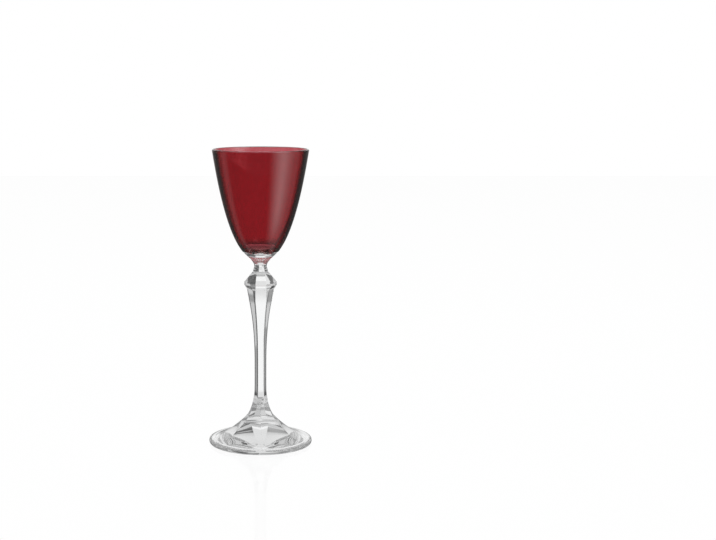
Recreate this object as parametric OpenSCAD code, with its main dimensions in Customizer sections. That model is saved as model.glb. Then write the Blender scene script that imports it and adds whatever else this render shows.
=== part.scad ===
// Tall cordial glass: a blown bowl with a ruby colour layer on its outside,
// a short round neck, a pressed six-sided stem with a knop, and a pressed foot
// with six ridges running out to its round edge. The pieces are fused hot.
//
// Millimetres. +Z is up, the glass stands on z = 0 and its axis is the Z axis.
// The front, as photographed, is the -Y side.

/* [Overall] */

// How many flat sides the stem and the foot's star have
facets = 6; // [6:2:8]
// Turn of the star's ridges about the axis, in degrees from the front
facet_turn = 2; // [-30:1:30]

/* [Foot] */

// Diameter of the round foot
foot_d = 58.2; // [50:0.2:70]
// Height of the foot, from the table to its seam with the stem
foot_h = 15.5; // [11:0.5:20]
// Thickness of the foot at its round edge
edge_t = 2.4; // [1.8:0.1:3.4]
// Radius of the rounding on both corners of the edge
edge_round = 1.0; // [0.4:0.1:1.1]
// Rise of the plain round disc from its edge to the axis
disc_rise = 2.7; // [1.5:0.1:3.5]
// Width across the corners of the star where it meets the stem
star_top_w = 16.2; // [15:0.1:17]
// How hollow the star's sweep is between the stem and the edge
star_sweep = 1.7; // [1.5:0.01:2.1]
// Gap left between the star's points and the foot's edge
star_margin = 1.1; // [0.5:0.1:3]
// Width of the flat ring that the glass stands on
rest_w = 2; // [1:0.1:3]
// Distance of that ring from the foot's edge
rest_in = 1.9; // [1.5:0.1:3]
// Depth of the shallow hollow under the foot
under_depth = 1.6; // [0.6:0.1:1.8]

/* [Stem] */

// Height of the stem, from the foot's seam to the neck's seam
stem_h = 82.9; // [70:0.1:95]
// Width across the ridges at the seam with the foot
flare_w = 15.9; // [14.4:0.1:16.2]
// How quickly the ridges draw in above that seam
flare_power = 2.2; // [1.8:0.05:2.8]
// Height above the seam at which the ridges run out into the flat sides
ridge_up = 13; // [11:0.5:15]
// Width across the ridges at that height
ridge_w = 8.8; // [8.4:0.1:9.4]
// Width across the corners of the flat sides at the waist
waist_w = 6.9; // [6.2:0.1:7.2]
// Height of the waist above the foot's seam
waist_up = 28.5; // [24:0.5:34]
// How far the flat sides would spread down to the seam without the ridges
side_spread = 20.5; // [17:0.5:24]
// How late the flat sides begin to spread on their way down
side_power = 7.8; // [6:0.1:9]
// Width across the corners just under the knop, before they are bevelled
shoulder_w = 16.3; // [14:0.1:17]
// Distance of that shoulder below the stem's top
shoulder_down = 10; // [9:0.1:12]
// How late the stem swells on its way up to the shoulder
taper_power = 2.45; // [1.8:0.05:3]
// Width across the corners of the knop, before they are bevelled
knop_w = 20.1; // [19:0.1:22]
// Height of the narrow upright band round the knop
girdle_h = 1.2; // [0.6:0.1:1.8]
// Distance of the band's upper edge below the stem's top
girdle_down = 6.4; // [5:0.1:7]
// Width across the corners at the stem's top
crown_w = 7.9; // [7.4:0.1:8.4]
// Distance below the stem's top at which the corners' bevels begin
bevel_down = 15; // [13:0.1:20]
// Width across the bevels' own corners where they begin
bevel_low_w = 15.5; // [14.8:0.1:16.5]
// Width across the bevels' own corners at the shoulder
bevel_shoulder_w = 17.6; // [17:0.1:18.6]
// Width across the bevels' own corners at the knop
bevel_knop_w = 20.9; // [20:0.1:22]
// Width across the bevels' own corners at the stem's top
bevel_top_w = 9.2; // [8.8:0.1:10]

/* [Neck] */

// Height of the neck, from the stem's top to the bowl's seam
neck_h = 5.6; // [4:0.1:8]
// Diameter of the collar that sits on the stem
collar_d = 8.2; // [7.8:0.1:8.8]
// Height of the collar's upright side
collar_h = 0.4; // [0.3:0.1:1.2]
// Diameter at the neck's narrowest place
neck_d = 7; // [6:0.1:7.6]
// Height of that place above the stem's top
neck_up = 2.6; // [2:0.1:3.2]
// Diameter at the seam with the bowl
seam_d = 9.6; // [8.4:0.1:12]

/* [Bowl] */

// Height of the bowl, from the neck's seam to the rim
bowl_h = 62; // [50:0.5:75]
// Diameter of the clear bowl at the rim
rim_d = 53.3; // [46:0.1:60]
// Wall thickness at the rim
rim_wall = 1; // [0.8:0.1:1.6]
// Thickness of glass round the bottom of the bowl
base_wall = 3.5; // [3:0.1:4]
// How quickly the wall thins from the bottom up
wall_power = 3; // [2:0.1:5]

/* [Colour layer] */

// Thickness of the ruby layer
coat_t = 0.2; // [0.1:0.05:0.4]
// Height of the layer's lower edge above the bowl's seam
coat_up = 5.6; // [4.5:0.1:8]
// Distance of the layer's upper edge below the rim
coat_down = 0.5; // [0.3:0.1:1.5]

/* [Hidden] */

$fn = 96;

// where the bowl's outline is pulled to, as shares of its width and height
low_pull_share = [0.09, 0.066];
belly_pull_share = [0.586, 0.045];
// how far up the outline the inside wall starts, as a share of its length
floor_share = 0.28;
// where the foot's disc profile is cut under the star, as a share of the edge
star_base_share = 0.5;
// how far past the surface a cut runs, in edge thicknesses
overrun_share = 0.5;

foot_r = foot_d / 2;
star_r = foot_r - star_margin;
star_top_r = star_top_w / 2;
rest_r = foot_r - rest_in;
hollow_r = rest_r - rest_w;
overrun = edge_t * overrun_share;

flare_r = flare_w / 2;
ridge_r = ridge_w / 2;
waist_r = waist_w / 2;
shoulder_r = shoulder_w / 2;
knop_r = knop_w / 2;
crown_r = crown_w / 2;
shoulder_up = stem_h - shoulder_down;
girdle_top = stem_h - girdle_down;
girdle_low = girdle_top - girdle_h;
bevel_up = stem_h - bevel_down;

collar_r = collar_d / 2;
neck_r = neck_d / 2;
seam_r = seam_d / 2;
rim_r = rim_d / 2;

stem_z = foot_h;
neck_z = stem_z + stem_h;
bowl_z = neck_z + neck_h;

star_steps = 18;
flare_steps = 20;
ridge_steps = 12;
taper_steps = 20;
arc_steps = 6;
neck_steps = 8;
wall_steps = 34;
floor_steps = 8;
curve_tries = 40;

glass_colour = [0.86, 0.9, 0.9, 0.55];
ruby_colour = [0.62, 0.02, 0.04, 0.8];

// ---- shared shapes

// ratio between the flat sides' distance and the corners' distance
flat = cos(180 / facets);
// half of the angle between two neighbouring ridges
half_side = 180 / facets;

function mix(a, b, t) = a + (b - a) * t;
function reversed(list) = [for (i = [len(list) - 1:-1:0]) list[i]];

// a quarter circle about a centre, from one angle to another
function arc(centre, radius, from, to, steps) = [
    for (i = [0:steps])
        let (a = mix(from, to, i / steps))
        centre + radius * [cos(a), sin(a)]
];

// A solid with flat sides all round. The outline gives the corners' distance
// from the axis at each height; each pair of opposite sides is one extruded
// outline, and the solid is what all the pairs have in common.
module sided(outline, turn) {
    reach = max([for (p = outline) p[0]]);
    half = [for (p = outline) [p[0] * flat, p[1]]];
    face = concat(half, reversed([for (p = half) [-p[0], p[1]]]));
    intersection_for (k = [0:facets / 2 - 1])
        rotate([0, 0, turn + k * 360 / facets])
            rotate([90, 0, 0])
                linear_extrude(height = 3 * reach, center = true)
                    polygon(face);
}

// ---- foot: a round disc with the star standing on it

// height of the plain disc at a distance from the axis
function disc_z(r) = edge_t + disc_rise * (1 - r / foot_r);

// height of the star's ridges at a distance from the axis
function ridge_z(r) =
    edge_t + (foot_h - edge_t) * pow((foot_r - r) / (foot_r - star_top_r), star_sweep);

disc_outline = concat(
    [[0, 0], [rest_r, 0]],
    arc([foot_r - edge_round, edge_round], edge_round, -60, 0, arc_steps),
    arc([foot_r - edge_round, edge_t - edge_round], edge_round, 0, 80, arc_steps),
    [[0, disc_z(0)]]
);

star_outline = concat(
    [[star_r, edge_t * star_base_share]],
    [
        for (i = [0:star_steps])
            let (t = i / star_steps, r = mix(star_r, star_top_r, 1 - pow(1 - t, 1.4)))
            [r, ridge_z(r)]
    ]
);

// a shallow dish, as deep as named at the axis and ending at the resting ring
hollow_outline = concat(
    [
        for (i = [0:arc_steps])
            let (t = i / arc_steps)
            [hollow_r * t, under_depth * (1 - t * t)]
    ],
    [[hollow_r, -overrun], [0, -overrun]]
);

module foot() {
    color(glass_colour)
    difference() {
        union() {
            rotate_extrude() polygon(disc_outline);
            sided(star_outline, facet_turn);
        }
        rotate_extrude() polygon(hollow_outline);
    }
}

// ---- stem: flat sides from waist to crown, with the star's ridges running up
// between them from the foot and with bevelled corners round the knop

// corners of the flat sides, on their way down to the foot
spread_outline = [
    for (i = [0:flare_steps - 1])
        let (t = 1 - i / flare_steps)
        [waist_r + side_spread * pow(t, side_power), waist_up * (1 - t)]
];

taper_outline = [
    for (i = [0:taper_steps])
        let (t = i / taper_steps)
        [
            waist_r + (shoulder_r - waist_r) * pow(t, taper_power),
            mix(waist_up, shoulder_up, t)
        ]
];

side_outline = concat(
    spread_outline,
    taper_outline,
    [[knop_r, girdle_low], [knop_r, girdle_top], [crown_r, stem_h]]
);

// The second set of flats lies half a side further round. At the foot it makes
// the ridges, at the knop it bevels the corners, and between it stands clear.
ridge_outline = concat(
    [
        for (i = [0:ridge_steps])
            let (t = i / ridge_steps)
            [ridge_r + (flare_r - ridge_r) * pow(1 - t, flare_power), ridge_up * t]
    ],
    [
        [bevel_low_w / 2, bevel_up],
        [bevel_shoulder_w / 2, shoulder_up],
        [bevel_knop_w / 2, girdle_low],
        [bevel_knop_w / 2, girdle_top],
        [bevel_top_w / 2, stem_h]
    ]
);

// The round collar above reaches a little over the flat sides of the crown.
// The stem's top is round there too, so each upper side ends in an arc.
crown_round_h = stem_h - girdle_top;

module stem() {
    color(glass_colour)
    translate([0, 0, stem_z])
    union() {
        intersection() {
            sided(side_outline, facet_turn + half_side);
            sided(ridge_outline, facet_turn);
        }
        translate([0, 0, girdle_top])
            cylinder(h = crown_round_h, r = collar_r);
    }
}

// ---- neck: the small round piece between stem and bowl

neck_outline = concat(
    [[0, 0], [collar_r, 0]],
    [
        for (i = [0:neck_steps])
            let (t = i / neck_steps)
            [mix(collar_r, neck_r, (1 - cos(180 * t)) / 2), mix(collar_h, neck_up, t)]
    ],
    [
        for (i = [1:neck_steps])
            let (t = i / neck_steps)
            [mix(neck_r, seam_r, t * t), mix(neck_up, neck_h, t)]
    ],
    [[0, neck_h]]
);

module neck() {
    color(glass_colour)
    translate([0, 0, neck_z])
        rotate_extrude() polygon(neck_outline);
}

// ---- bowl: one curve for the outside, and a wall that thickens downwards

low_pull = [mix(seam_r, rim_r, low_pull_share[0]), bowl_h * low_pull_share[1]];
belly_pull = [mix(seam_r, rim_r, belly_pull_share[0]), bowl_h * belly_pull_share[1]];
seam_point = [seam_r, 0];
rim_point = [rim_r, bowl_h];

function wall_at(t) =
    pow(1 - t, 3) * seam_point + 3 * t * pow(1 - t, 2) * low_pull
    + 3 * t * t * (1 - t) * belly_pull + pow(t, 3) * rim_point;

function slope_at(t) =
    3 * pow(1 - t, 2) * (low_pull - seam_point)
    + 6 * t * (1 - t) * (belly_pull - low_pull)
    + 3 * t * t * (rim_point - belly_pull);

function outward(t) = let (s = slope_at(t)) [s[1], -s[0]] / norm(s);

function wall_t(t) = rim_wall + (base_wall - rim_wall) * pow(1 - t, wall_power) / pow(1 - floor_share, wall_power);

// place along the curve that has a given height
function place_of(height, low = 0, high = 1, tries = curve_tries) =
    tries == 0 ? (low + high) / 2
    : let (middle = (low + high) / 2)
        wall_at(middle)[1] < height
            ? place_of(height, middle, high, tries - 1)
            : place_of(height, low, middle, tries - 1);

// the rim is a half round as thick as the wall
lip_r = rim_wall / 2;
lip_lean = -outward(place_of(bowl_h - lip_r))[1];
lip_place = place_of(bowl_h - lip_r * (1 + lip_lean));
lip_out = wall_at(lip_place);
lip_centre = lip_out - lip_r * outward(lip_place);
lip_angle = atan2(outward(lip_place)[1], outward(lip_place)[0]);

function inside_at(t) = wall_at(t) - wall_t(t) * outward(t);

outside_wall = [for (i = [0:wall_steps]) wall_at(lip_place * i / wall_steps)];
inside_wall = [
    for (i = [0:wall_steps])
        inside_at(mix(floor_share, lip_place, i / wall_steps))
];

// the inside ends in a round floor that meets the wall without a step
floor_edge = inside_wall[0];
floor_slope = (inside_wall[1] - inside_wall[0])[1] / (inside_wall[1] - inside_wall[0])[0];
floor_sag = floor_slope * floor_edge[0] / 2;
floor_curve = [
    for (i = [0:floor_steps - 1])
        let (t = i / floor_steps)
        [floor_edge[0] * t, floor_edge[1] - floor_sag * (1 - t * t)]
];

bowl_outline = concat(
    [[0, 0]],
    outside_wall,
    arc(lip_centre, lip_r, lip_angle, lip_angle + 180, 2 * arc_steps),
    reversed([for (i = [0:wall_steps - 1]) inside_wall[i]]),
    reversed(floor_curve)
);

module bowl() {
    color(glass_colour)
    translate([0, 0, bowl_z])
        rotate_extrude() polygon(bowl_outline);
}

// ---- colour layer: follows the bowl's own outside wall

coat_low = place_of(coat_up);
coat_high = place_of(bowl_h - coat_down);

// the wall's own points between the layer's two edges, so the two faces match
coat_inside = concat(
    [wall_at(coat_low)],
    [for (p = outside_wall) if (p[1] > coat_up && p[1] < bowl_h - coat_down) p],
    [wall_at(coat_high)]
);
coat_places = concat(
    [coat_low],
    [
        for (i = [0:wall_steps])
            let (t = lip_place * i / wall_steps, p = wall_at(t))
            if (p[1] > coat_up && p[1] < bowl_h - coat_down) t
    ],
    [coat_high]
);
coat_outside = [for (t = coat_places) wall_at(t) + coat_t * outward(t)];

module ruby_coat() {
    color(ruby_colour)
    translate([0, 0, bowl_z])
        rotate_extrude() polygon(concat(coat_inside, reversed(coat_outside)));
}

foot();
stem();
neck();
bowl();
ruby_coat();
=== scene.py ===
# %% [markdown]
# # A tall cordial glass with a ruby bowl
# The glass is made of five pieces that are joined hot: a pressed foot with a six-pointed star, a pressed
# six-sided stem with a knop, a short round neck, a blown bowl, and a thin ruby layer on the bowl's outside.
# The CAD model gives the places of all five. Here each one is made again with finer curves, softened edges
# and real glass finishes, and then put in plain studio light.

import math

import bpy
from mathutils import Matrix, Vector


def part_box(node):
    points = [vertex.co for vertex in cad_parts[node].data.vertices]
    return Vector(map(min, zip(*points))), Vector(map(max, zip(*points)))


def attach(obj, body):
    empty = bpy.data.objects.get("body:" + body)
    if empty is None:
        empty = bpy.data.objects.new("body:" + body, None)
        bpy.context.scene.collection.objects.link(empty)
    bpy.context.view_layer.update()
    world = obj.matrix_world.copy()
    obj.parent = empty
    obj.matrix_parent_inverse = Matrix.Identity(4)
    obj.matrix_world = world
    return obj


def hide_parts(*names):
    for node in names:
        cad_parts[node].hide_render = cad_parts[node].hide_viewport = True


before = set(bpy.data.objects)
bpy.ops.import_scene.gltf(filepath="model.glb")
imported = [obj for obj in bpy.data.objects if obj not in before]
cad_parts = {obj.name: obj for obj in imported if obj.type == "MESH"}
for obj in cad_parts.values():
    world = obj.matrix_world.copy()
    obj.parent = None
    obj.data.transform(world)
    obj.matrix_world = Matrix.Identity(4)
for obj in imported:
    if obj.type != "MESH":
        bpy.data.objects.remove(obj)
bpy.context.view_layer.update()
print("CAD nodes:", sorted(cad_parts))

# %% [markdown]
# ## Sizes
# A glassmaker works from one outline drawing. The heights and widths come from the CAD boxes, and what a
# box can't tell, such as how the stem swells between its ends, is named here once. Lengths are in metres.

# %% Sizes of the pieces
mm = 0.001

foot_low, foot_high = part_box("foot")
stem_low, stem_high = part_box("stem")
neck_low, neck_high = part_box("neck")
bowl_low, bowl_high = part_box("bowl")
coat_low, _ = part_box("ruby_coat")

sides = 6
ridge_turn = math.radians(2 - 90)     # from +X; the front of the glass is -Y

foot_radius = foot_high.x
foot_top = foot_high.z
edge_thick = 2.4 * mm
edge_round = 1.0 * mm
disc_rise = 2.7 * mm
joint_radius = 8.0 * mm
star_sweep = 1.7
rest_inset = 1.9 * mm
rest_width = 2.0 * mm
hollow_depth = 1.6 * mm

stem_base = stem_low.z
stem_top = stem_high.z
ridge_height = stem_base + 13 * mm
ridge_radius = 4.4 * mm
ridge_power = 2.2
waist_radius = 3.45 * mm
waist_height = stem_base + 28.5 * mm
side_spread = 20.5 * mm
side_power = 7.8
shoulder_radius = 8.15 * mm
shoulder_height = stem_top - 10 * mm
taper_power = 2.45
knop_radius = 10.05 * mm
band_height = 1.2 * mm
band_top = stem_top - 6.4 * mm
crown_radius = 3.95 * mm
bevel_height = stem_top - 15 * mm
bevel_low_radius = 7.75 * mm
bevel_shoulder_radius = 8.8 * mm
bevel_knop_radius = 10.45 * mm
bevel_top_radius = 4.6 * mm

neck_base = neck_low.z
neck_top = neck_high.z
collar_radius = 4.1 * mm
collar_height = 0.4 * mm
throat_radius = 3.5 * mm
throat_height = 2.6 * mm
seam_radius = 4.8 * mm

bowl_base = bowl_low.z
rim_radius = 26.65 * mm
rim_height = bowl_high.z - bowl_base
rim_wall = 1.0 * mm
base_wall = 3.5 * mm
wall_power = 3
floor_start = 0.28

coat_thick = 0.2 * mm
coat_from = coat_low.z - bowl_base
coat_to = rim_height - 0.5 * mm
print(f"foot {2 * foot_radius / mm:.1f} mm wide, glass {(bowl_high.z - foot_low.z) / mm:.1f} mm high")

# %% [markdown]
# ## Outlines
# Every piece starts as an outline: a list of points, each with its distance from the axis and its height.
# Pressed and fire-polished glass has no knife edges, so a corner is replaced by a small curve. Three points
# are enough for that: where the curve leaves the first side, the old corner that pulls it, and where it
# ends. Nothing in glass starts or stops with a jerk either, so a change along an outline is eased in and
# out.

# %% Outline helpers
def mix(a, b, share):
    return a + (b - a) * share


def shares(steps):
    """0 to 1 in equal steps, both ends included."""
    return [step / steps for step in range(steps + 1)]


def ease(share):
    """0 below 0 and 1 above 1, with a gentle start and end between them."""
    share = min(1.0, max(0.0, share))
    return share * share * (3 - 2 * share)


def soften(points, at, setback, steps=6):
    """Replaces the corner at index `at` by a small curve that starts `setback` before it."""
    corner = points[at]
    ends = []
    for other in (points[at - 1], points[at + 1]):
        away = math.dist(corner, other)
        share = min(setback / away, 0.5)
        ends.append([mix(c, o, share) for c, o in zip(corner, other)])
    curve = []
    for share in shares(steps):
        first = [mix(a, b, share) for a, b in zip(ends[0], corner)]
        second = [mix(a, b, share) for a, b in zip(corner, ends[1])]
        curve.append([mix(a, b, share) for a, b in zip(first, second)])
    return points[:at] + curve + points[at + 1:]


def line(start, end, steps):
    """Points from one place to another, without the last one."""
    return [[mix(a, b, share) for a, b in zip(start, end)] for share in shares(steps)[:-1]]


def arc(centre, radius, first, last, steps):
    """Points of a circle's arc, from one angle in degrees to another."""
    turns = [math.radians(mix(first, last, share)) for share in shares(steps)]
    return [[centre[0] + radius * math.cos(turn), centre[1] + radius * math.sin(turn)] for turn in turns]


# %% [markdown]
# ## Sums in a node tree
# The foot and the stem follow one rule: six flat sides round an axis. Geometry Nodes can hold such a rule,
# but a tree of dozens of Math nodes is slow to read. So this small class lets a socket be used in ordinary
# sums: `a * b + 1` makes the two Math nodes and links them.

# %% A value in a node tree
class Field:
    def __init__(self, tree, socket):
        self.tree = tree
        self.socket = socket

    def math(self, operation, *others):
        node = self.tree.nodes.new("ShaderNodeMath")
        node.operation = operation
        for slot, value in enumerate((self,) + others):
            if isinstance(value, Field):
                self.tree.links.new(value.socket, node.inputs[slot])
            else:
                node.inputs[slot].default_value = value
        return Field(self.tree, node.outputs[0])

    def constant(self, value):
        """The same number for every point, as a Field that sums can start with."""
        return (self * 0).math("ADD", value)

    def __add__(self, other):
        return self.math("ADD", other)

    def __sub__(self, other):
        return self.math("SUBTRACT", other)

    def __rsub__(self, other):
        return self.math("MULTIPLY_ADD", -1.0, other)

    def __mul__(self, other):
        return self.math("MULTIPLY", other)

    def __truediv__(self, other):
        return self.math("DIVIDE", other)

    def __pow__(self, other):
        return self.math("POWER", other)

    __radd__ = __add__
    __rmul__ = __mul__


def add_node(tree, kind, inputs=None, **settings):
    """Adds a node, sets its options, and links or sets the inputs that are named."""
    node = tree.nodes.new(kind)
    for name, value in settings.items():
        setattr(node, name, value)
    for name, value in (inputs or {}).items():
        if isinstance(value, Field):
            tree.links.new(value.socket, node.inputs[name])
        elif isinstance(value, bpy.types.NodeSocket):
            tree.links.new(value, node.inputs[name])
        else:
            node.inputs[name].default_value = value
    return node


def new_tree(name, kind, inputs, outputs):
    """A node tree with named sockets. Gives the tree, its inputs by name and its output node."""
    tree = bpy.data.node_groups.new(name, kind)
    for socket_name, socket_type in inputs:
        tree.interface.new_socket(name=socket_name, in_out="INPUT", socket_type="NodeSocket" + socket_type)
    for socket_name, socket_type in outputs:
        tree.interface.new_socket(name=socket_name, in_out="OUTPUT", socket_type="NodeSocket" + socket_type)
    inside = tree.nodes.new("NodeGroupInput")
    end = tree.nodes.new("NodeGroupOutput")
    sockets = {socket_name: Field(tree, inside.outputs[socket_name]) for socket_name, _ in inputs}
    return tree, sockets, end


# %% [markdown]
# ## The rule of the flat sides
# A six-sided section is a circle that is cut flat six times. Seen from the axis, a side is nearest at its
# middle and the corners are farther by one over the cosine. The rule below gives that share for each column
# of a grid. A smooth maximum of two neighbouring sides rounds the edge between them, as fire polishing
# does. Columns are packed closely at the edges, where the shape bends, and loosely on the flats.

# %% Node group: angle and share of a flat side
most_rounding = 0.3     # of the radius, which sets a limit to the rounding near the axis

side_rule, given, side_rule_end = new_tree(
    "Flat side rule",
    "GeometryNodeTree",
    [("Column", "Float"), ("Columns per Side", "Float"), ("Sides", "Float"), ("Corner Angle", "Float"),
     ("Radius", "Float"), ("Rounding", "Float")],
    [("Angle", "Float"), ("Share", "Float")],
)
place = given["Column"] / given["Columns per Side"]
side_number = place.math("FLOOR")
along = place - side_number
eased = along * along * (3 - along * 2)
side_angle = given["Sides"].constant(2 * math.pi) / given["Sides"]
from_corner = eased * side_angle
from_middle = (from_corner - side_angle * 0.5).math("ABSOLUTE")
softness = (given["Rounding"] / given["Radius"]).math("MINIMUM", most_rounding)
nearest = from_middle.math("COSINE").math("SMOOTH_MAX", (side_angle - from_middle).math("COSINE"), softness)
share = nearest / (side_angle * 0.5).math("COSINE")
angle = given["Corner Angle"] + side_number * side_angle + from_corner
side_rule.links.new(angle.socket, side_rule_end.inputs["Angle"])
side_rule.links.new(share.socket, side_rule_end.inputs["Share"])
print("side rule has", len(side_rule.nodes), "nodes")

# %% [markdown]
# The stem needs a second rule, because two sets of six flats cross on it. One set makes the long sides. The
# other lies half a side further round: at the foot it makes the ridges, at the knop it bevels the corners.
# The glass is what both sets leave. The edge between them wanders up the stem, so half of the columns are
# laid between a side's two edges and the others outside of them, and every column follows its edge.

# %% Node group: two crossed sets of flats
crowding = 1.6              # above 1, the outer columns crowd towards the edge that they follow
crossing_softness = 0.5     # of the rounding, where one set crosses the other

crossed_rule, given, crossed_rule_end = new_tree(
    "Crossed sides rule",
    "GeometryNodeTree",
    [("Column", "Float"), ("Columns per Side", "Float"), ("Sides", "Float"), ("Ridge Angle", "Float"),
     ("Side Radius", "Float"), ("Ridge Radius", "Float"), ("Rounding", "Float"), ("Narrowest", "Float")],
    [("Angle", "Float"), ("Radius", "Float")],
)
place = given["Column"] / given["Columns per Side"]
side_number = place.math("FLOOR")
across = (place - side_number) * 2 - 1
from_middle = across.math("ABSOLUTE")
side_angle = given["Sides"].constant(2 * math.pi) / given["Sides"]
half_angle = side_angle * 0.5
wider = given["Ridge Radius"] / given["Side Radius"]
edge_angle = (wider - half_angle.math("COSINE")).math("ARCTAN2", half_angle.math("SINE"))
edge_angle = edge_angle.math("MAXIMUM", given["Narrowest"])
edge_angle = edge_angle.math("MINIMUM", half_angle - given["Narrowest"])
within = 1 - (from_middle * 2).math("MINIMUM", 1.0)
beyond = (from_middle * 2 - 1).math("MAXIMUM", 0.0)
turned = edge_angle * (1 - within * within) + (half_angle - edge_angle) * beyond ** crowding
softness = given["Rounding"] / given["Side Radius"]
side_near = turned.math("COSINE").math("SMOOTH_MAX", (side_angle - turned).math("COSINE"), softness)
ridge_near = (half_angle - turned).math("COSINE").math("SMOOTH_MAX", (half_angle + turned).math("COSINE"),
                                                       softness)
nearest = side_near.math("SMOOTH_MAX", ridge_near / wider, softness * crossing_softness)
radius = given["Side Radius"] * half_angle.math("COSINE") / nearest
angle = given["Ridge Angle"] + side_number * side_angle + turned * across.math("SIGN")
crossed_rule.links.new(angle.socket, crossed_rule_end.inputs["Angle"])
crossed_rule.links.new(radius.socket, crossed_rule_end.inputs["Radius"])
print("crossed rule has", len(crossed_rule.nodes), "nodes")


# %% [markdown]
# ## Grids that become glass
# Both trees start in the same way. The outline arrives as a row of loose points. A grid gets one row for
# each outline point and one column for each angle, and every grid point looks up its outline point by
# number. Both trees also end alike: the grid is bent round the axis, its seam and poles are closed, and its
# flat joining faces get the finish of a melted seam.

# %% Shared start and end of the two trees
counting_guard = 0.0001     # keeps a column's number from falling one short when it is rounded down
merge_distance = 0.002 * mm
crease_angle = math.radians(35)
level_enough = 0.999        # how upright a face's normal is where the face counts as flat and level
lowest_seam = 6 * mm        # below it, a level face is the ring that the foot stands on


def outline_grid(tree, given):
    """A grid over the outline. Gives the mesh socket and, for each grid point, what its row says."""
    size = add_node(tree, "GeometryNodeAttributeDomainSize", {"Geometry": given["Outline"]}, component="MESH")
    rows = Field(tree, size.outputs["Point Count"])
    columns = given["Columns per Side"] * given["Sides"]
    grid = add_node(tree, "GeometryNodeMeshGrid", {"Vertices X": columns + 1, "Vertices Y": rows})
    number = Field(tree, tree.nodes.new("GeometryNodeInputIndex").outputs[0])
    column = (number / rows + counting_guard).math("FLOOR")
    row = number - column * rows

    position = tree.nodes.new("GeometryNodeInputPosition")
    point = add_node(tree, "GeometryNodeSampleIndex",
                     {"Geometry": given["Outline"], "Value": position.outputs[0], "Index": row},
                     data_type="FLOAT_VECTOR")
    parts = add_node(tree, "ShaderNodeSeparateXYZ", {"Vector": point.outputs["Value"]})
    told = {"radius": Field(tree, parts.outputs["X"]), "height": Field(tree, parts.outputs["Z"])}
    for word in ("round", "lift", "ridge"):
        named = add_node(tree, "GeometryNodeInputNamedAttribute", {"Name": word}, data_type="FLOAT")
        looked_up = add_node(
            tree, "GeometryNodeSampleIndex",
            {"Geometry": given["Outline"], "Value": named.outputs["Attribute"], "Index": row},
            data_type="FLOAT")
        told[word] = Field(tree, looked_up.outputs["Value"])

    told["column"] = column
    return grid.outputs["Mesh"], told


def ask_rule(tree, rule, inputs):
    """Adds one of the two rules to a tree and links its inputs. Gives its outputs as Fields."""
    asked = add_node(tree, "GeometryNodeGroup", node_tree=rule)
    for name, value in inputs.items():
        tree.links.new(value.socket, asked.inputs[name])
    return [Field(tree, output) for output in asked.outputs]


def close_and_finish(tree, mesh, radius, angle, height, given, end):
    """Moves the grid's points, closes its seam and poles, and gives its faces their two materials."""
    where = add_node(tree, "ShaderNodeCombineXYZ",
                     {"X": radius * angle.math("COSINE"), "Y": radius * angle.math("SINE"), "Z": height})
    moved = add_node(tree, "GeometryNodeSetPosition", {"Geometry": mesh, "Position": where.outputs[0]})
    merged = add_node(tree, "GeometryNodeMergeByDistance",
                      {"Geometry": moved.outputs[0], "Distance": merge_distance})
    smooth = add_node(tree, "GeometryNodeSetShadeSmooth",
                      {"Geometry": merged.outputs[0], "Shade Smooth": True})
    edge = tree.nodes.new("GeometryNodeInputMeshEdgeAngle")
    steep = Field(tree, edge.outputs["Unsigned Angle"]).math("GREATER_THAN", crease_angle)
    sharp = add_node(tree, "GeometryNodeSetShadeSmooth",
                     {"Geometry": smooth.outputs[0], "Selection": steep, "Shade Smooth": False},
                     domain="EDGE")
    real = add_node(tree, "GeometryNodeRealizeInstances", {"Geometry": sharp.outputs[0]})
    glass = add_node(tree, "GeometryNodeSetMaterial",
                     {"Geometry": real.outputs[0], "Material": given["Glass"]})

    # the flat faces where two pieces are melted together
    at = add_node(tree, "ShaderNodeSeparateXYZ",
                  {"Vector": tree.nodes.new("GeometryNodeInputPosition").outputs[0]})
    up = add_node(tree, "ShaderNodeSeparateXYZ",
                  {"Vector": tree.nodes.new("GeometryNodeInputNormal").outputs[0]})
    level = Field(tree, up.outputs["Z"]).math("ABSOLUTE").math("GREATER_THAN", level_enough)
    x, y, z = (Field(tree, at.outputs[name]) for name in "XYZ")
    inside = (x * x + y * y).math("SQRT").math("LESS_THAN", given["Seam Radius"])
    joined = level * inside * z.math("GREATER_THAN", lowest_seam)
    seam = add_node(tree, "GeometryNodeSetMaterial",
                    {"Geometry": glass.outputs[0], "Selection": joined, "Material": given["Seam"]})
    tree.links.new(seam.outputs[0], end.inputs["Geometry"])


shared_inputs = [
    ("Outline", "Geometry"), ("Columns per Side", "Int"), ("Sides", "Int"), ("Ridge Angle", "Float"),
    ("Rounding", "Float"), ("Seam Radius", "Float"), ("Glass", "Material"), ("Seam", "Material"),
]

# %% [markdown]
# ## Tree for the stem
# Each outline point gives two distances from the axis: that of the long sides' corners, and that of the
# second set's. The crossed rule makes the section from both. Above the knop a small round core shows
# through the flats, because the round neck sits on it, so the radius there is never smaller than the
# core's.

# %% Tree: sided stem
least_radius = 0.01 * mm    # the rule divides by the radius, which is nothing on the axis
core_blend = 0.15 * mm

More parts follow.
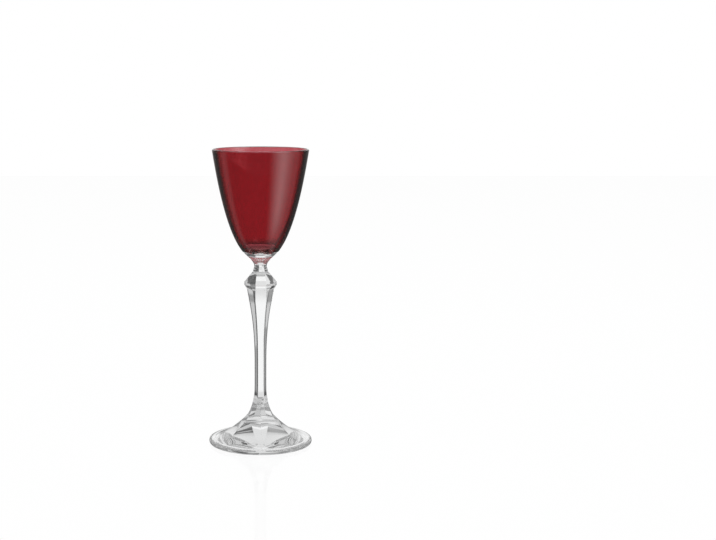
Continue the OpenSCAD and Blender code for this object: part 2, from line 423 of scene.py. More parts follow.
stem_tree, given, end = new_tree(
    "Sided stem", "GeometryNodeTree",
    shared_inputs + [("Core Radius", "Float"), ("Core Start", "Float"), ("Narrowest", "Float"),
                     ("Shaft Rounding", "Float")],
    [("Geometry", "Geometry")],
)
mesh, told = outline_grid(stem_tree, given)
angle, flat_radius = ask_rule(stem_tree, crossed_rule, {
    "Column": told["column"], "Columns per Side": given["Columns per Side"], "Sides": given["Sides"],
    "Ridge Angle": given["Ridge Angle"], "Side Radius": told["radius"].math("MAXIMUM", least_radius),
    "Ridge Radius": told["ridge"], "Narrowest": given["Narrowest"],
    "Rounding": given["Rounding"] + (given["Shaft Rounding"] - given["Rounding"]) * told["lift"],
})
radius = flat_radius + (told["radius"] - flat_radius) * told["round"]
above_knop = told["height"].math("GREATER_THAN", given["Core Start"])
core_here = given["Core Radius"] * above_knop * (1 - told["round"])
radius = radius.math("SMOOTH_MAX", core_here, core_blend)
close_and_finish(stem_tree, mesh, radius, angle, told["height"], given, end)
print("stem tree has", len(stem_tree.nodes), "nodes")

# %% [markdown]
# ## Tree for the foot
# The foot is a shallow disc with the star standing on it. The star's height depends on how far a point is
# from the axis, measured square to the nearest side, so the ridges run out to the points of the star and
# the valleys between them melt into the disc. A smooth maximum joins disc and star without a hard crease.
# Towards the edge the star fades out: where a row is round, its height depends on the plain distance, times
# a share a little over one that sinks what is left of the star into the disc.

# %% Tree: star foot
crease_power = 4    # the crease stays soft over most of the fade

foot_tree, given, end = new_tree(
    "Star foot", "GeometryNodeTree",
    shared_inputs + [("Foot Radius", "Float"), ("Edge Height", "Float"), ("Disc Height", "Float"),
                     ("Joint Height", "Float"), ("Joint Radius", "Float"), ("Sweep", "Float"),
                     ("Crease", "Float"), ("Faded Share", "Float")],
    [("Geometry", "Geometry")],
)
mesh, told = outline_grid(foot_tree, given)
angle, share = ask_rule(foot_tree, side_rule, {
    "Column": told["column"], "Columns per Side": given["Columns per Side"], "Sides": given["Sides"],
    "Corner Angle": given["Ridge Angle"], "Radius": told["radius"], "Rounding": given["Rounding"],
})
flat_radius = told["radius"] / share
radius = flat_radius + (told["radius"] - flat_radius) * told["round"]
disc = given["Disc Height"] + (given["Edge Height"] - given["Disc Height"]) * (radius / given["Foot Radius"])
reach = given["Foot Radius"] - given["Joint Radius"]
fade = told["round"]
measured = radius * (share + (given["Faded Share"] - share) * fade)
inward = ((given["Foot Radius"] - measured) / reach).math("MAXIMUM", 0.0)
star = given["Edge Height"] + (given["Joint Height"] - given["Edge Height"]) * inward ** given["Sweep"]
crease = given["Crease"] * (1 - fade ** crease_power)
top = disc.math("SMOOTH_MAX", star, crease).math("MINIMUM", given["Joint Height"])
height = told["height"] + (top - told["height"]) * told["lift"]
close_and_finish(foot_tree, mesh, radius, angle, height, given, end)
print("foot tree has", len(foot_tree.nodes), "nodes")

# %% [markdown]
# ## Glass finishes
# Clear pressed glass is hardly ever perfectly flat: the mould and the flame leave a faint waviness that
# makes reflections swim a little. That effect is shared by all the pieces, so it is one node group with its
# own inputs. It puts out a normal and a faint unevenness of gloss; the shader itself stays in each
# material.

# %% Node group: faint waviness of worked glass
haze_finer = 5      # the haze is finer than the waves by this much

skin, given, skin_end = new_tree(
    "Worked glass skin", "ShaderNodeTree",
    [("Wave Size", "Float"), ("Wave Height", "Float"), ("Gloss", "Float"), ("Gloss Spread", "Float")],
    [("Normal", "Vector"), ("Roughness", "Float"), ("Cloud", "Float")],
)
coordinates = skin.nodes.new("ShaderNodeTexCoord")
frequency = given["Wave Size"].constant(1.0) / given["Wave Size"]
waves = add_node(skin, "ShaderNodeTexNoise",
                 {"Vector": coordinates.outputs["Object"], "Scale": frequency,
                  "Detail": 2.0, "Roughness": 0.4})
bump = add_node(skin, "ShaderNodeBump",
                {"Strength": 1.0, "Distance": given["Wave Height"], "Height": waves.outputs[0]})
haze = add_node(skin, "ShaderNodeTexNoise",
                {"Vector": coordinates.outputs["Object"], "Scale": frequency * haze_finer, "Detail": 4.0})
haze_share = Field(skin, haze.outputs[0])
gloss = given["Gloss"] + given["Gloss Spread"] * haze_share
skin.links.new(bump.outputs[0], skin_end.inputs["Normal"])
skin.links.new(gloss.socket, skin_end.inputs["Roughness"])
skin.links.new(haze_share.socket, skin_end.inputs["Cloud"])
print("worked skin has", len(skin.nodes), "nodes")

# %% [markdown]
# The two finishes differ in colour and in how strongly they were worked, so one function makes both. The
# clear glass is all but colourless. The ruby is the colour that white light has after it crossed the bowl's
# front and back, because each crossing takes the square root of it.

# %% Clear glass and ruby glass
glass_ior = 1.52
clear_colour = (0.97, 0.975, 0.975, 1)
ruby_colour = (0.245, 0.006, 0.010, 1)


def glass_material(name, colour, wave_size, wave_height, gloss_spread):
    """Glass of one colour with the worked skin. Gives the material, its shader and its skin node."""
    material = bpy.data.materials.new(name)
    material.use_nodes = True
    tree = material.node_tree
    tree.nodes.clear()
    surface = add_node(tree, "ShaderNodeOutputMaterial")
    shader = add_node(tree, "ShaderNodeBsdfPrincipled",
                      {"Base Color": colour, "IOR": glass_ior, "Transmission Weight": 1.0})
    worked = add_node(tree, "ShaderNodeGroup", node_tree=skin)
    worked.inputs["Wave Size"].default_value = wave_size
    worked.inputs["Wave Height"].default_value = wave_height
    worked.inputs["Gloss"].default_value = 0.0
    worked.inputs["Gloss Spread"].default_value = gloss_spread
    tree.links.new(worked.outputs["Normal"], shader.inputs["Normal"])
    tree.links.new(worked.outputs["Roughness"], shader.inputs["Roughness"])
    tree.links.new(shader.outputs[0], surface.inputs["Surface"])
    return material, shader, worked


clear_glass, _, _ = glass_material(
    "clear_glass", clear_colour, wave_size=22 * mm, wave_height=0.02 * mm, gloss_spread=0.01)
ruby_glass, ruby_shader, ruby_skin = glass_material(
    "ruby_glass", ruby_colour, wave_size=30 * mm, wave_height=0.02 * mm, gloss_spread=0.02)
print("finishes:", clear_glass.name, ruby_glass.name)

# %% [markdown]
# Ruby glass is taken up hot, so its colour is never quite even. The colour is darker towards the bottom
# of the layer, set by height, and a soft cloud varies it a little. On top of that, painted shade turns the
# bowl's sides nearly black where the surface is seen at a slant. It stands in for the dark lines that glass
# shows along its outline. The Fresnel value tells the slant. On faces seen from behind, this painted shade
# is much weaker, so the bowl stays red for someone who looks into it.

# %% Colour of the ruby, with painted edge shade
ruby_bottom = 109 * mm
ruby_even = 114.8 * mm
# darker colour towards the bottom of the ruby layer, set by height and a faint cloud
bottom_colour = (0.042, 0.018, 0.016, 1)
# painted shade: the near-black colour that the bowl's sides take where they are seen at a slant
painted_edge_shade = (0.012, 0.03, 0.02, 1)
edge_shade_start = 0.065
edge_shade_full = 0.16
inside_shade_ease = 0.85
cloud_share = 0.12
ruby_tree = ruby_glass.node_tree
ruby_place = add_node(ruby_tree, "ShaderNodeSeparateXYZ",
                      {"Vector": ruby_tree.nodes.new("ShaderNodeTexCoord").outputs["Object"]})
ruby_rise = add_node(ruby_tree, "ShaderNodeMapRange",
                     {"Value": ruby_place.outputs["Z"], "From Min": ruby_bottom, "From Max": ruby_even},
                     interpolation_type="SMOOTHSTEP")
cloud = Field(ruby_tree, ruby_skin.outputs["Cloud"])
plain_ruby_share = (Field(ruby_tree, ruby_rise.outputs[0]) - cloud * cloud_share).math("MAXIMUM", 0.0)
slant = add_node(ruby_tree, "ShaderNodeFresnel", {"IOR": glass_ior})
edge_shade_share = add_node(ruby_tree, "ShaderNodeMapRange",
                       {"Value": slant.outputs[0], "From Min": edge_shade_start, "From Max": edge_shade_full},
                       interpolation_type="SMOOTHSTEP")
bottom_darkening = add_node(ruby_tree, "ShaderNodeMix", {"Factor": plain_ruby_share}, data_type="RGBA")
bottom_darkening.inputs[6].default_value = bottom_colour
bottom_darkening.inputs[7].default_value = ruby_colour
facing = add_node(ruby_tree, "ShaderNodeNewGeometry")
from_inside = Field(ruby_tree, facing.outputs["Backfacing"])
edge_shade_amount = Field(ruby_tree, edge_shade_share.outputs[0]) * (1 - from_inside * inside_shade_ease)
# painted shade: mixes the ruby towards near black at a slant, much less on faces seen from behind
edge_shaded = add_node(ruby_tree, "ShaderNodeMix", {"Factor": edge_shade_amount}, data_type="RGBA")
ruby_tree.links.new(bottom_darkening.outputs[2], edge_shaded.inputs[6])
edge_shaded.inputs[7].default_value = painted_edge_shade
ruby_tree.links.new(edge_shaded.outputs[2], ruby_shader.inputs["Base Color"])
print("ruby finish has", len(ruby_tree.nodes), "nodes")

# %% [markdown]
# Where two pieces were melted together there is no surface any more. Each piece is still closed, so its
# joining face is there in the mesh, and a fully see-through finish keeps light from bending at it.

# %% Melted seams
melted_seam = bpy.data.materials.new("melted_seam")
melted_seam.use_nodes = True
melted_seam.node_tree.nodes.clear()
seam_surface = add_node(melted_seam.node_tree, "ShaderNodeOutputMaterial")
seam_shader = add_node(melted_seam.node_tree, "ShaderNodeBsdfPrincipled",
                       {"Base Color": (1, 1, 1, 1), "Roughness": 0.0, "IOR": glass_ior,
                        "Transmission Weight": 1.0, "Alpha": 0.0})
melted_seam.node_tree.links.new(seam_shader.outputs[0], seam_surface.inputs["Surface"])
print("seam finish:", melted_seam.name)


# %% [markdown]
# ## Making a piece from a tree
# The outline becomes a mesh of loose points with three numbers on each. `round` says how round its row is,
# from 0 for flat sides to 1 for a circle. `lift` is a share: on the foot, how far the star may raise the
# row, and on the stem, how far its edges go from the plain rounding to the shaft's. `ridge` is the distance
# of the second set's corners, which only the stem has. The tree is run once and its result kept as a plain
# mesh, so nothing live is left on the piece.

# %% Helpers that make pieces
def outline_object(name, rows):
    """rows are (radius, height, round, lift, ridge)."""
    mesh = bpy.data.meshes.new(name)
    mesh.from_pydata([(row[0], 0, row[1]) for row in rows], [], [])
    for word, slot in (("round", 2), ("lift", 3), ("ridge", 4)):
        values = mesh.attributes.new(word, "FLOAT", "POINT")
        values.data.foreach_set("value", [float(row[slot]) for row in rows])
    piece = bpy.data.objects.new(name, mesh)
    bpy.context.scene.collection.objects.link(piece)
    return piece


def run_tree(piece, tree, inputs):
    """Runs a geometry tree on a piece and keeps its result as the piece's own mesh."""
    modifier = piece.modifiers.new(tree.name, "NODES")
    modifier.node_group = tree
    keys = {item.name: item.identifier for item in tree.interface.items_tree if item.in_out == "INPUT"}
    for name, value in inputs.items():
        modifier[keys[name]] = value
    piece.update_tag()
    bpy.context.view_layer.update()
    made = piece.evaluated_get(bpy.context.evaluated_depsgraph_get())
    mesh = bpy.data.meshes.new_from_object(made)
    piece.modifiers.remove(modifier)
    piece.data = mesh
    mesh.name = piece.name
    return piece


def volume_of(piece):
    """Volume inside a closed mesh. It is positive when the faces point outwards."""
    mesh = piece.data
    mesh.calc_loop_triangles()
    total = 0.0
    for triangle in mesh.loop_triangles:
        a, b, c = (mesh.vertices[index].co for index in triangle.vertices)
        total += a.dot(b.cross(c)) / 6
    return total


def face_outwards(piece):
    """Turns all faces round if the mesh is inside out, and says what was made."""
    if volume_of(piece) < 0:
        piece.data.flip_normals()
    triangles = len(piece.data.loop_triangles)
    print(f"{piece.name}: {triangles} triangles, {volume_of(piece) / mm ** 3:.0f} cubic mm")


# %% [markdown]
# ## Foot
# The foot is pressed in a mould: a round disc, slightly hollow underneath so that it stands on a ring, with
# a rounded edge that is easy on the fingers. Its outline starts at the middle of the hollow and ends at the
# joint with the stem. Rows near the joint are six-sided and grow rounder towards the edge.

# %% Foot
hollow_rows = 36
top_rows = 150
row_crowding = 1.25     # above 1, the rows crowd towards the joint
ring_softness = 0.5 * mm
fade_start = 12 * mm
fade_width = 15 * mm
faded_share = 1.035
foot_columns = 44       # to each side
star_rounding = 0.28 * mm
valley_crease = 0.8 * mm
rest_outer = foot_radius - rest_inset
rest_inner = rest_outer - rest_width
disc_slope = math.degrees(math.atan(disc_rise / foot_radius))
upper_edge = arc((foot_radius - edge_round, edge_thick - edge_round), edge_round, 0, 90 - disc_slope, 10)
lower_edge = arc((foot_radius - edge_round, edge_round), edge_round, -60, 0, 8)
last_round, disc_start = upper_edge[-1]
disc_height = disc_start + last_round * math.tan(math.radians(disc_slope))

underside = [[rest_inner * t, hollow_depth * (1 - t * t)] for t in shares(hollow_rows)]
underside = underside + [[rest_outer, 0]] + lower_edge
for corner in (hollow_rows + 1, hollow_rows):
    underside = soften(underside, corner, ring_softness)
foot_rows = [(r, z, 1, 0, 0) for r, z in underside + upper_edge]
for t in shares(top_rows)[1:]:
    row_radius = mix(last_round, joint_radius, 1 - (1 - t) ** row_crowding)
    foot_rows.append((row_radius, 0, ease((row_radius - fade_start) / fade_width), 1, 0))
foot_rows.append((0, foot_top, 1, 0, 0))

foot = outline_object("star_foot", foot_rows)
run_tree(foot, foot_tree, {
    "Columns per Side": foot_columns, "Sides": sides, "Ridge Angle": ridge_turn, "Rounding": star_rounding,
    "Seam Radius": joint_radius, "Glass": clear_glass, "Seam": melted_seam,
    "Foot Radius": foot_radius, "Edge Height": edge_thick, "Disc Height": disc_height,
    "Joint Height": foot_top, "Joint Radius": joint_radius, "Sweep": star_sweep, "Crease": valley_crease,
    "Faded Share": faded_share,
})
face_outwards(foot)

# %% [markdown]
# ## Stem
# From the joint the stem sweeps in to its waist, swells slowly to a shoulder, steps out to the knop with
# its narrow upright band, and closes in to the crown that carries the neck. The edges round the knop keep
# most of the mould's sharpness. The long edges of the shaft are rounder, because the flame reaches them all
# round.

# %% Stem
flare_rows = 90
taper_rows = 60
shoulder_rows = 10
ledge_rows = 12
band_rows = 5
crown_rows = 24
stem_columns = 40       # to each side
knop_softness = 0.1 * mm
knop_rounding = 0.4 * mm
shaft_rounding = 0.9 * mm
polish_start = 6 * mm   # above the seam with the foot
polish_rise = 8 * mm
polish_stop = 1 * mm    # under the shoulder
polish_fall = 6 * mm
seam_inset = 0.02 * mm  # the joining face is this much smaller than the neck's collar
core_above_band = 0.2 * mm
narrowest_side = math.radians(3.0)


def ridge_at(height):
    """How far out the second set of flats has its corners, from the seam up to the bevels."""
    if height < ridge_height:
        left = (ridge_height - height) / (ridge_height - stem_base)
        return mix(ridge_radius, joint_radius, left ** ridge_power)
    return mix(ridge_radius, bevel_low_radius, (height - ridge_height) / (bevel_height - ridge_height))


def taper_at(height):
    """How far out the long sides have their corners, from the waist up to the shoulder."""
    up = (height - waist_height) / (shoulder_height - waist_height)
    return mix(waist_radius, shoulder_radius, up ** taper_power)


def polish_at(height):
    """1 along the thin shaft, whose edges the flame rounds most, falling to 0 at the foot and the knop."""
    from_foot = (height - stem_base - polish_start) / polish_rise
    from_knop = (shoulder_height - height - polish_stop) / polish_fall
    return ease(min(from_foot, from_knop))


# each point: the sides' corners, the height, the ridges' or bevels' corners
flare = [
    [waist_radius + side_spread * (1 - t) ** side_power, mix(stem_base, waist_height, t)]
    for t in shares(flare_rows)[:-1]
]
taper = [[taper_at(z), z] for z in [mix(waist_height, bevel_height, t) for t in shares(taper_rows)[:-1]]]
lower = [[r, z, ridge_at(z)] for r, z in flare + taper]
under_knop = [[taper_at(z), z, mix(bevel_low_radius, bevel_shoulder_radius, t)]
              for t, z in [(t, mix(bevel_height, shoulder_height, t)) for t in shares(shoulder_rows)[:-1]]]
band_low = band_top - band_height
shoulder_point = (shoulder_radius, shoulder_height, bevel_shoulder_radius)
band_low_point = (knop_radius, band_low, bevel_knop_radius)
band_top_point = (knop_radius, band_top, bevel_knop_radius)
crown_point = (crown_radius, stem_top, bevel_top_radius)
knop = line(shoulder_point, band_low_point, ledge_rows)
knop = knop + line(band_low_point, band_top_point, band_rows)
knop = knop + line(band_top_point, crown_point, crown_rows) + [list(crown_point)]
stem_line = lower + under_knop + knop
shoulder_at = len(lower) + len(under_knop)
for at in (shoulder_at + ledge_rows + band_rows, shoulder_at + ledge_rows, shoulder_at):
    stem_line = soften(stem_line, at, knop_softness)
stem_rows = [(0, stem_base, 1, 0, joint_radius)]
stem_rows = stem_rows + [(side, z, 0, polish_at(z), ridge) for side, z, ridge in stem_line]
stem_rows = stem_rows + [(collar_radius - seam_inset, stem_top, 1, 0, bevel_top_radius),
                         (0, stem_top, 1, 0, bevel_top_radius)]

stem = outline_object("sided_stem", stem_rows)
run_tree(stem, stem_tree, {
    "Columns per Side": stem_columns, "Sides": sides, "Ridge Angle": ridge_turn, "Rounding": knop_rounding,
    "Shaft Rounding": shaft_rounding, "Narrowest": narrowest_side,
    "Seam Radius": joint_radius, "Glass": clear_glass, "Seam": melted_seam,
    "Core Radius": collar_radius, "Core Start": band_top + core_above_band,
})
face_outwards(stem)


# %% [markdown]
# ## Round pieces
# The neck, the bowl and the ruby layer are turned shapes. They could come from a Screw modifier, but a
# piece here needs another finish on some of its rows, so the rings are laid down in code: one ring of
# points for each outline point, with quads between the rings and a fan of triangles where the outline
# touches the axis.

# %% Turning a round piece
on_axis_radius = 0.001 * mm     # a point nearer than this lies on the axis
glass_face = 0                  # the numbers of a piece's two finishes
seam_face = 1


def turn(name, outline, materials, finish_of, columns=240):
    """outline is a closed loop of (radius, height) that may touch the axis. finish_of gives the material's
    number for the strip between two outline points."""
    rings = []
    points = []
    for radius, height in outline:
        if radius < on_axis_radius:
            rings.append([len(points)] * columns)
            points.append((0, 0, height))
            continue
        rings.append(list(range(len(points), len(points) + columns)))
        for column in range(columns):
            turned = 2 * math.pi * column / columns
            points.append((radius * math.cos(turned), radius * math.sin(turned), height))
    starts_on_axis = len(set(rings[0])) == 1
    strips = list(zip(range(len(rings)), range(1, len(rings))))
    if not starts_on_axis:
        strips.append((len(rings) - 1, 0))
    faces = []
    finishes = []
    for low, high in strips:
        finish = finish_of(outline[low], outline[high])
        for column in range(columns):
            after = (column + 1) % columns
            corners = [rings[low][column], rings[low][after], rings[high][after], rings[high][column]]
            faces.append(list(dict.fromkeys(corners)))
            finishes.append(finish)
    mesh = bpy.data.meshes.new(name)
    mesh.from_pydata(points, [], faces)
    for material in materials:
        mesh.materials.append(material)
    mesh.polygons.foreach_set("material_index", finishes)
    mesh.shade_smooth()
    mesh.set_sharp_from_angle(angle=crease_angle)
    piece = bpy.data.objects.new(name, mesh)
    bpy.context.scene.collection.objects.link(piece)
    return piece


# %% [markdown]
# ## Neck
# A short round piece between the stem's crown and the bowl: an upright collar, a narrow throat, and a
# spread that runs on into the bowl. Both of its flat ends are melted seams.

# %% Neck
throat_rows = 20
spread_rows = 24
neck_columns = 160
neck_height = neck_top - neck_base
neck_outline = [[0, 0], [collar_radius, 0], [collar_radius, collar_height]]
neck_outline = neck_outline + [
    [mix(collar_radius, throat_radius, (1 - math.cos(math.pi * t)) / 2), mix(collar_height, throat_height, t)]
    for t in shares(throat_rows)[1:]
]
neck_outline = neck_outline + [
    [mix(throat_radius, seam_radius, t * t), mix(throat_height, neck_height, t)]
    for t in shares(spread_rows)[1:]
]
neck_outline = neck_outline + [[0, neck_height]]
neck_outline = [[r, z + neck_base] for r, z in neck_outline]


def neck_finish(low, high):
    """Only the two flat ends touch the axis."""
    return seam_face if low[0] == 0 or high[0] == 0 else glass_face


neck = turn("round_neck", neck_outline, [clear_glass, melted_seam], neck_finish, columns=neck_columns)
face_outwards(neck)

# %% [markdown]
# ## Bowl
# The outside of the bowl is one Bezier curve from the neck to the rim. The inside follows it at a distance
# that grows towards the bottom, where the blower leaves more glass, and ends in a round floor. The lip is a
# half circle, as the flame leaves it. Under the ruby layer the outer wall is a melted seam.

# %% The bowl's outer curve
low_pull_share = (0.09, 0.066)      # of the way out and of the height, for the curve's two inner pulls
belly_pull_share = (0.586, 0.045)
halvings = 40
pulls = [
    (seam_radius, 0.0),
    (mix(seam_radius, rim_radius, low_pull_share[0]), rim_height * low_pull_share[1]),
    (mix(seam_radius, rim_radius, belly_pull_share[0]), rim_height * belly_pull_share[1]),
    (rim_radius, rim_height),
]


def wall_at(t):
    """The outer wall's point at a share of the curve, as radius and height above the seam."""
    weights = ((1 - t) ** 3, 3 * t * (1 - t) ** 2, 3 * t * t * (1 - t), t ** 3)
    return [sum(weight * pull[axis] for weight, pull in zip(weights, pulls)) for axis in (0, 1)]


def outward_at(t):
    """The direction that points straight out of the wall there."""
    weights = ((1 - t) ** 2, 2 * t * (1 - t), t * t)
    steps = [(b[0] - a[0], b[1] - a[1]) for a, b in zip(pulls[:-1], pulls[1:])]
    slope = [sum(weight * step[axis] for weight, step in zip(weights, steps)) for axis in (0, 1)]
    length = math.hypot(*slope)
    return [slope[1] / length, -slope[0] / length]


def place_of(height):
    """Where along the curve a height is reached, found by halving."""
    low, high = 0.0, 1.0
    for _ in range(halvings):
        middle = (low + high) / 2
        if wall_at(middle)[1] < height:
            low = middle
        else:
            high = middle
    return (low + high) / 2


def offset_at(t, distance):
    """The point that lies a distance outside of the wall, or inside where it is negative."""
    place = wall_at(t)
    outward = outward_at(t)
    return [place[0] + distance * outward[0], place[1] + distance * outward[1]]


def wall_thick(t):
    """The rim's wall at the top, growing to the base's at the edge of the floor."""
    return mix(rim_wall, base_wall, (1 - t) ** wall_power / (1 - floor_start) ** wall_power)


print("wall at mid height:", [round(size / mm, 1) for size in wall_at(place_of(rim_height / 2))], "mm")

# %% [markdown]
# The outline of the bowl now runs up the outside, over the lip, down the inside and along the floor to the
# axis. The rows that the ruby layer covers, and the one just below them, have the finish of a melted seam.

# %% Bowl
base_rows = 16
wall_rows = 110
lip_rows = 14
floor_rows = 20
digits = 9              # heights that agree to so many digits are the same row
lip_radius = rim_wall / 2
lip_lean = -outward_at(place_of(rim_height - lip_radius))[1]
lip_place = place_of(rim_height - lip_radius * (1 + lip_lean))
coat_first = place_of(coat_from)
coat_last = place_of(coat_to)
coat_places = [mix(coat_first, coat_last, t) for t in shares(wall_rows)]
wall_places = [coat_first * t for t in shares(base_rows)[:-1]] + coat_places + [lip_place]
outer_wall = [wall_at(t) for t in wall_places]
lip_tilt = math.degrees(math.atan2(*reversed(outward_at(lip_place))))
lip = arc(offset_at(lip_place, -lip_radius), lip_radius, lip_tilt, lip_tilt + 180, lip_rows)[1:-1]
inner_places = [mix(lip_place, floor_start, share) for share in shares(wall_rows)]
inner_wall = [offset_at(t, -wall_thick(t)) for t in inner_places]
floor_edge = inner_wall[-1]
floor_slope = (inner_wall[-2][1] - floor_edge[1]) / (inner_wall[-2][0] - floor_edge[0])
floor_sag = floor_slope * floor_edge[0] / 2
bowl_floor = [
    [floor_edge[0] * t, floor_edge[1] - floor_sag * (1 - t * t)]
    for t in reversed(shares(floor_rows)[:-1])
]
bowl_outline = [[0, 0]] + outer_wall + lip + inner_wall + bowl_floor
bowl_outline = [[r, z + bowl_base] for r, z in bowl_outline]
coated = {round(wall_at(t)[1] + bowl_base, digits) for t in wall_places[base_rows - 1:-1]}


def bowl_finish(low, high):
    """The flat end on the neck and the coated strip of the outer wall are seams."""
    flat_end = low[0] == 0 and high[1] == bowl_base
    upwards = high[1] > low[1]
    covered = round(low[1], digits) in coated and round(high[1], digits) in coated
    return seam_face if flat_end or (upwards and covered) else glass_face


bowl = turn("clear_bowl", bowl_outline, [clear_glass, melted_seam], bowl_finish)
face_outwards(bowl)

# %% [markdown]
# ## Ruby layer
# The colour is a very thin skin of ruby glass on the outside of the clear bowl. It stops at a level line
# above the neck and just under the lip, so a clear edge shows at both ends. It is modelled as its own thin
# shell.

# %% Ruby layer
coat_inner = [wall_at(t) for t in coat_places]
coat_outer = [offset_at(t, coat_thick) for t in coat_places]
coat_outline = [[r, z + bowl_base] for r, z in coat_outer + list(reversed(coat_inner))]
inner_face = {(round(r, digits), round(z + bowl_base, digits)) for r, z in coat_inner}


def coat_finish(low, high):
    """The layer's inner face is melted to the bowl."""
    both = all((round(r, digits), round(z, digits)) in inner_face for r, z in (low, high))
    return seam_face if both else glass_face


ruby = turn("ruby_layer", coat_outline, [ruby_glass, melted_seam], coat_finish)
face_outwards(ruby)

# %% [markdown]
# ## Light and floor
# Glass has no look of its own: it shows what stands around it. The usual studio answer is a bright field
# behind, dark cards beside it and one soft box at the side, so the glass stays light with crisp dark lines.
# The cards stand far away, so each one is a patch of the World, told by its direction: azimuth 0 is behind
# the glass, 90 is to its right, and elevation 0 is the horizon. Light that went through the glass and light
# that mirrors off its outside see two sets of cards, as a photographer would light them one after the
# other.

# %% Node group: one soft-edged card
card_group, given, card_end = new_tree(
    "Studio card", "ShaderNodeTree",
    [("Level", "Float"), ("Azimuth", "Float"), ("Half Width", "Float"), ("Low", "Float"), ("High", "Float"),
     ("Softness", "Float"), ("Brightness", "Float")],
    [("Level", "Float")],
)
sky = add_node(card_group, "ShaderNodeTexCoord")
sky_parts = add_node(card_group, "ShaderNodeSeparateXYZ", {"Vector": sky.outputs["Generated"]})
east, north, up = (Field(card_group, sky_parts.outputs[name]) for name in "XYZ")
elevation = up.math("ARCSINE").math("DEGREES")
azimuth = east.math("ARCTAN2", north).math("DEGREES")
turned_away = (azimuth - given["Azimuth"] + 540).math("FLOORED_MODULO", 360.0) - 180
aside = turned_away.math("ABSOLUTE")


def soft_step(value, edge, softness, rising):
    """0 to 1 across an edge, or 1 to 0 when it isn't rising."""
    before, after = edge - softness, edge + softness
    step = add_node(card_group, "ShaderNodeMapRange", {"Value": value}, interpolation_type="SMOOTHSTEP")
    for name, end_of in (("From Min", before), ("From Max", after)):
        card_group.links.new(end_of.socket, step.inputs[name])
    step.inputs["To Min"].default_value = 0.0 if rising else 1.0
    step.inputs["To Max"].default_value = 1.0 if rising else 0.0
    return Field(card_group, step.outputs[0])


mask = soft_step(aside, given["Half Width"], given["Softness"], False)
mask = mask * soft_step(elevation, given["Low"], given["Softness"], True)
mask = mask * soft_step(elevation, given["High"], given["Softness"], False)
level = given["Level"] + (given["Brightness"] - given["Level"]) * mask
card_group.links.new(level.socket, card_end.inputs["Level"])
print("studio card has", len(card_group.nodes), "nodes")

# %% [markdown]
# Later cards lie over earlier ones. The wide ones come first: the ceiling, the table, and the dark sides
# with a window in each. Then come the narrow ones that the six sides of the stem look at. Each long side of
# the shaft sees a thin lit strip between two dark cards, at 41 degrees on either hand, and so gets a dark
# line along both of its edges. The last ones are the bright field behind the glass. Off the outside, the
# glass mirrors the soft box at the right.

# %% World
# each card, in degrees: azimuth, half width, lowest and highest elevation, softness; then its brightness
seen_through_glass = [
    (0, 200, 20, 120, 8, 0.78),
    (0, 200, -120, -42, 8, 0.56),
    (90, 24, -44, 40, 6, 0.25),
    (-90, 24, -44, 40, 6, 0.27),
    (90, 9, -14, 0, 2, 0.72),
    (-90, 9, -14, 0, 2, 0.72),
    (24, 14, -34, 14, 3, 0.1),
    (-31, 9, -34, 12, 3, 0.1),
    (50, 13, -30, 14, 2, 0.06),
    (-50, 13, -30, 14, 2, 0.06),
    (18, 5, 4, 10, 1, 0.45),
    (40.7, 2, -22, 14, 0.8, 0.36),
    (-41.4, 2, -22, 14, 0.8, 0.36),
    (40.7, 2, -9, 4, 0.8, 0.62),
    (-41.4, 2, -4, 4, 0.8, 0.66),
    (40.7, 2, 7, 12, 0.8, 0.66),
    (14, 9, -22, -13.5, 2, 0.2),
    (-16, 8, -34, -9, 3, 0.82),
    (-16, 7, -9, 14, 3, 0.42),
    (0, 9, -36, 60, 2, 0.8),
    (0, 12, -44, -30, 3, 0.36),
    (0, 8, -17, 2, 2, 1.0),
]
seen_in_gloss = [
    (0, 45, 0, 60, 12, 0.95),
    (0, 200, -120, -72, 6, 0.12),
    (86, 14, -60, 60, 8, 0.5),
    (121, 19, -45, 70, 21, 2.4),
    (-79, 10, -80, 60, 6, 0.4),
]
room_through_glass = 0.62
room_in_gloss = 0.12

world = bpy.data.worlds.new("studio")
bpy.context.scene.world = world
world.use_nodes = True
sky_tree = world.node_tree
sky_tree.nodes.clear()
world_out = add_node(sky_tree, "ShaderNodeOutputWorld")
world_glow = add_node(sky_tree, "ShaderNodeBackground", {"Color": (1, 1, 1, 1)})
sky_tree.links.new(world_glow.outputs[0], world_out.inputs["Surface"])


def cards(room_level, card_list):
    """A chain of cards laid over the room's own level."""
    level = None
    for azimuth, half_width, low, high, softness, brightness in card_list:
        card = add_node(sky_tree, "ShaderNodeGroup", node_tree=card_group)
        for name, value in (("Azimuth", azimuth), ("Half Width", half_width), ("Low", low), ("High", high),
                            ("Softness", softness), ("Brightness", brightness)):
            card.inputs[name].default_value = value
        if level is None:
            card.inputs["Level"].default_value = room_level
        else:
            sky_tree.links.new(level, card.inputs["Level"])
        level = card.outputs["Level"]
    return Field(sky_tree, level)


paths = add_node(sky_tree, "ShaderNodeLightPath")
through = cards(room_through_glass, seen_through_glass)
mirrored = cards(room_in_gloss, seen_in_gloss)
is_mirrored = Field(sky_tree, paths.outputs["Is Reflection Ray"])
is_direct = Field(sky_tree, paths.outputs["Is Camera Ray"])
light = through + (mirrored - through) * is_mirrored
light = light + (1 - light) * is_direct
sky_tree.links.new(light.socket, world_glow.inputs["Strength"])
bpy.context.scene.view_settings.view_transform = "Standard"
print(len(seen_through_glass), "cards seen through the glass,", len(seen_in_gloss), "seen in its gloss")

# %% [markdown]
# Light is thrown to and fro inside solid glass many times before it leaves. Blender follows twelve of those
# turns by default and shows black after the last, so the limit is raised for glass as thick as this foot.

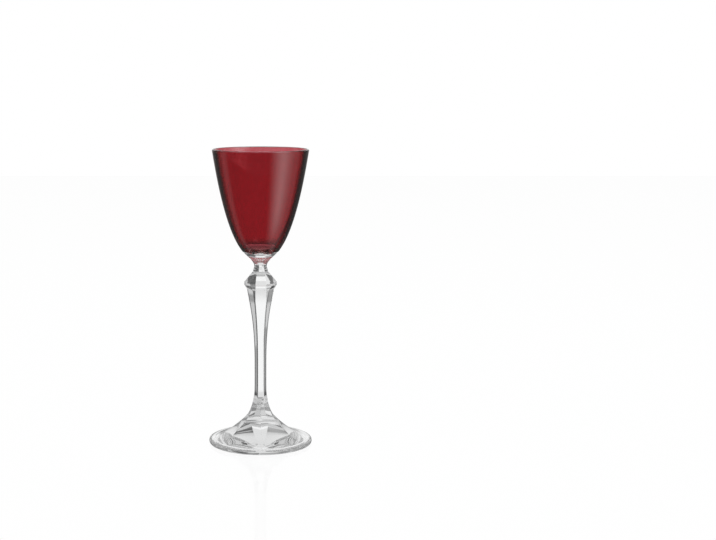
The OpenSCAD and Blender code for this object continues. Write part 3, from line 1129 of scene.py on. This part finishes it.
# %% Turns of light inside the glass
light_turns = 24
light_paths = bpy.context.scene.cycles
light_paths.max_bounces = light_turns
light_paths.transmission_bounces = light_turns
light_paths.glossy_bounces = light_turns
light_paths.transparent_max_bounces = 2 * light_turns
print("light is followed for", light_turns, "turns")

# %% [markdown]
# The floor is plain white acrylic. It is overexposed, as in any catalogue picture, and mirrors the glass
# very faintly. The card list above already has the floor's light for the glass, so only the camera sees the
# floor.

# %% Floor
floor_mirror = 0.06
floor_haze = 0.04
floor_half = 2.0
floor_level = -0.05 * mm
floor_mesh = bpy.data.meshes.new("studio_floor")
floor_corners = [(-1, -1), (1, -1), (1, 1), (-1, 1)]
floor_points = [(x * floor_half, y * floor_half, floor_level) for x, y in floor_corners]
floor_mesh.from_pydata(floor_points, [], [(0, 1, 2, 3)])
floor = bpy.data.objects.new("studio_floor", floor_mesh)
bpy.context.scene.collection.objects.link(floor)
floor.visible_transmission = False
floor.visible_glossy = False
floor.visible_diffuse = False
floor_material = bpy.data.materials.new("white_acrylic")
floor_material.use_nodes = True
floor_tree = floor_material.node_tree
floor_tree.nodes.clear()
floor_out = add_node(floor_tree, "ShaderNodeOutputMaterial")
floor_glow = add_node(floor_tree, "ShaderNodeEmission", {"Color": (1, 1, 1, 1), "Strength": 1.0})
floor_gloss = add_node(floor_tree, "ShaderNodeBsdfGlossy", {"Color": (1, 1, 1, 1), "Roughness": floor_haze})
floor_mix = add_node(floor_tree, "ShaderNodeMixShader", {"Fac": floor_mirror})
floor_tree.links.new(floor_glow.outputs[0], floor_mix.inputs[1])
floor_tree.links.new(floor_gloss.outputs[0], floor_mix.inputs[2])
floor_tree.links.new(floor_mix.outputs[0], floor_out.inputs["Surface"])
floor_mesh.materials.append(floor_material)
print("floor", 2 * floor_half, "m wide")

# %% [markdown]
# The camera stands where the photograph was taken from. The ellipses of the rim and the foot give its
# height, its distance and its dip. The glass stands left of the middle of the picture, so the lens is
# shifted, because turning the camera would tilt the glass. Lengths in the picture are in pixels of its own
# size.

# %% Camera
photo_width = 716
photo_height = 540
focal_pixels = 1346.8
axis_pixel = 260.5
level_pixel = 300.24
sensor_width = 36
camera_away = 744.2 * mm
camera_height = 207.5 * mm
camera_dip = 9.6
camera_data = bpy.data.cameras.new("photo_camera")
camera = bpy.data.objects.new("photo_camera", camera_data)
bpy.context.scene.collection.objects.link(camera)
camera_data.sensor_width = sensor_width
camera_data.lens = sensor_width * focal_pixels / photo_width
camera_data.shift_x = (photo_width / 2 - axis_pixel) / photo_width
camera_data.shift_y = (level_pixel - photo_height / 2) / photo_width
camera.location = (0, -camera_away, camera_height)
camera.rotation_euler = (math.radians(90 - camera_dip), 0, 0)
bpy.context.scene.camera = camera
print(f"lens {camera_data.lens:.1f} mm, shifted by {camera_data.shift_x:.3f} and {camera_data.shift_y:.3f}")

# %% [markdown]
# ## Placing the pieces
# Each piece rides on the one body and stands for its CAD node, which is hidden.

# %% Ride and replace
for piece, node, slot in ((foot, "foot", "clear_glass"), (stem, "stem", "clear_glass"),
                          (neck, "neck", "clear_glass"), (bowl, "bowl", "clear_glass"),
                          (ruby, "ruby_coat", "ruby_glass")):
    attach(piece, "root")
    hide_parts(node)
